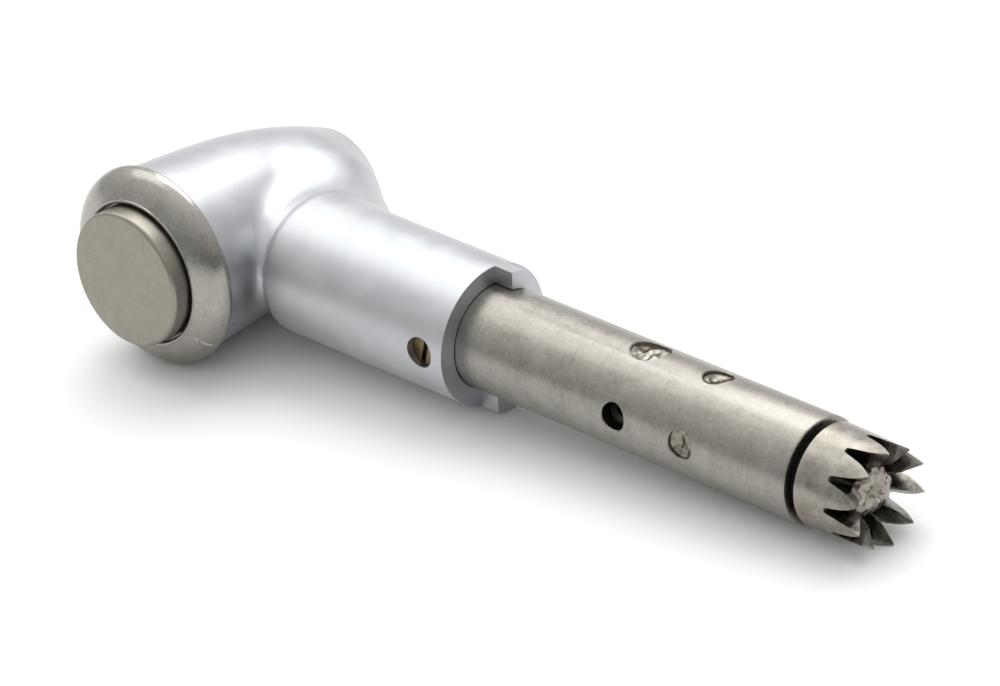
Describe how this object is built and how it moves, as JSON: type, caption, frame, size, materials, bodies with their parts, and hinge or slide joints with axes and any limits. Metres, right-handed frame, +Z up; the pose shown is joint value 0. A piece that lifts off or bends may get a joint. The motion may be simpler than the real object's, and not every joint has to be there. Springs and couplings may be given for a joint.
{
  "type": "prophy angle",
  "caption": "Right-angle dental head with a push-button latch chuck, a satin neck and a steel bearing sleeve ending in a toothed crown gear.",
  "frame": {"origin": "where the shaft axis crosses the chuck axis, inside the bur bore", "axes": "+X along the shaft to the crown gear, +Z up as it lies on its side, +Y out of the bur mouth, so the push button faces -Y"},
  "size_m": [0.0449, 0.014, 0.0096],
  "materials": {
    "satin_housing": "bead-blasted satin",
    "polished_steel": "turned, half bright",
    "button_steel": "fine satin",
    "sleeve_steel": "turned satin",
    "gear_steel": "machined",
    "shaft_steel": "ground",
    "inner_steel": "turned",
    "bush_steel": "turned",
    "spring_steel": "drawn wire",
    "jaw_steel": "ground",
    "screw_steel": "turned, worn slot",
    "race_steel": "ground and polished",
    "ball_steel": "polished",
    "cage_resin": "phenolic resin",
    "seal_rubber": "moulded"
  },
  "bodies": {
    "head": {"head_housing": "satin_housing", "cap_ring": "polished_steel", "bearing_carrier": "inner_steel", "bearing_sleeve": "sleeve_steel", "locating_screw": "screw_steel", "cap_seal": "seal_rubber", "neck_seal": "seal_rubber", "sleeve_bush": "bush_steel", "front_lock_ring": "inner_steel", "rear_seal": "seal_rubber", "upper_outer_race": "race_steel", "lower_outer_race": "race_steel", "lower_shield": "inner_steel", "preload_washer": "spring_steel", "front_outer_race": "race_steel", "rear_outer_race": "race_steel"},
    "drive_train": {"drive_shaft": "shaft_steel", "drive_pinion": "gear_steel", "crown_gear": "gear_steel", "front_inner_race": "race_steel", "rear_inner_race": "race_steel", "race_spacer": "inner_steel"},
    "front_ball_set": {"front_balls": "ball_steel", "front_cage": "cage_resin"},
    "rear_ball_set": {"rear_balls": "ball_steel", "rear_cage": "cage_resin"},
    "chuck": {"chuck_spindle": "shaft_steel", "spindle_gear": "gear_steel", "upper_inner_race": "race_steel", "lower_inner_race": "race_steel", "spindle_nut": "inner_steel", "jaw_spring": "spring_steel"},
    "upper_ball_set": {"upper_balls": "ball_steel", "upper_cage": "cage_resin"},
    "lower_ball_set": {"lower_balls": "ball_steel", "lower_cage": "cage_resin"},
    "jaw_a": {"chuck_jaw_a": "jaw_steel"},
    "jaw_b": {"chuck_jaw_b": "jaw_steel"},
    "button": {"push_button": "button_steel", "button_cam": "jaw_steel", "button_spring": "spring_steel"}
  },
  "joints": [
    {"name": "drive_spin", "type": "hinge", "parent": "head", "child": "drive_train", "pos_m": [0, 0, 0], "axis": [1, 0, 0], "continuous": true},
    {"name": "front_balls_roll", "type": "hinge", "parent": "head", "child": "front_ball_set", "pos_m": [0, 0, 0], "axis": [1, 0, 0], "continuous": true},
    {"name": "rear_balls_roll", "type": "hinge", "parent": "head", "child": "rear_ball_set", "pos_m": [0, 0, 0], "axis": [1, 0, 0], "continuous": true},
    {"name": "chuck_spin", "type": "hinge", "parent": "head", "child": "chuck", "pos_m": [0, 0, 0], "axis": [0, -1, 0], "continuous": true},
    {"name": "upper_balls_roll", "type": "hinge", "parent": "head", "child": "upper_ball_set", "pos_m": [0, 0, 0], "axis": [0, -1, 0], "continuous": true},
    {"name": "lower_balls_roll", "type": "hinge", "parent": "head", "child": "lower_ball_set", "pos_m": [0, 0, 0], "axis": [0, -1, 0], "continuous": true},
    {"name": "button_press", "type": "slide", "parent": "head", "child": "button", "axis": [0, 1, 0], "range_m": [0, 0.0006], "stiffness_N_per_m": 800, "springref_m": -0.0006, "deforming": ["button_spring"]},
    {"name": "jaw_a_open", "type": "slide", "parent": "chuck", "child": "jaw_a", "axis": [1, 0, 0], "range_m": [0, 0.0003], "deforming": ["jaw_spring"]},
    {"name": "jaw_b_open", "type": "slide", "parent": "chuck", "child": "jaw_b", "axis": [-1, 0, 0], "range_m": [0, 0.0003]}
  ],
  "couplings": [
    {"joint": "front_balls_roll", "follows": "drive_spin", "ratio": 0.4},
    {"joint": "rear_balls_roll", "follows": "drive_spin", "ratio": 0.4},
    {"joint": "chuck_spin", "follows": "drive_spin", "ratio": -0.66667},
    {"joint": "upper_balls_roll", "follows": "drive_spin", "ratio": -0.27246},
    {"joint": "lower_balls_roll", "follows": "drive_spin", "ratio": -0.27816},
    {"joint": "jaw_a_open", "follows": "button_press", "ratio": 0.5},
    {"joint": "jaw_b_open", "follows": "button_press", "ratio": 0.5}
  ]
}
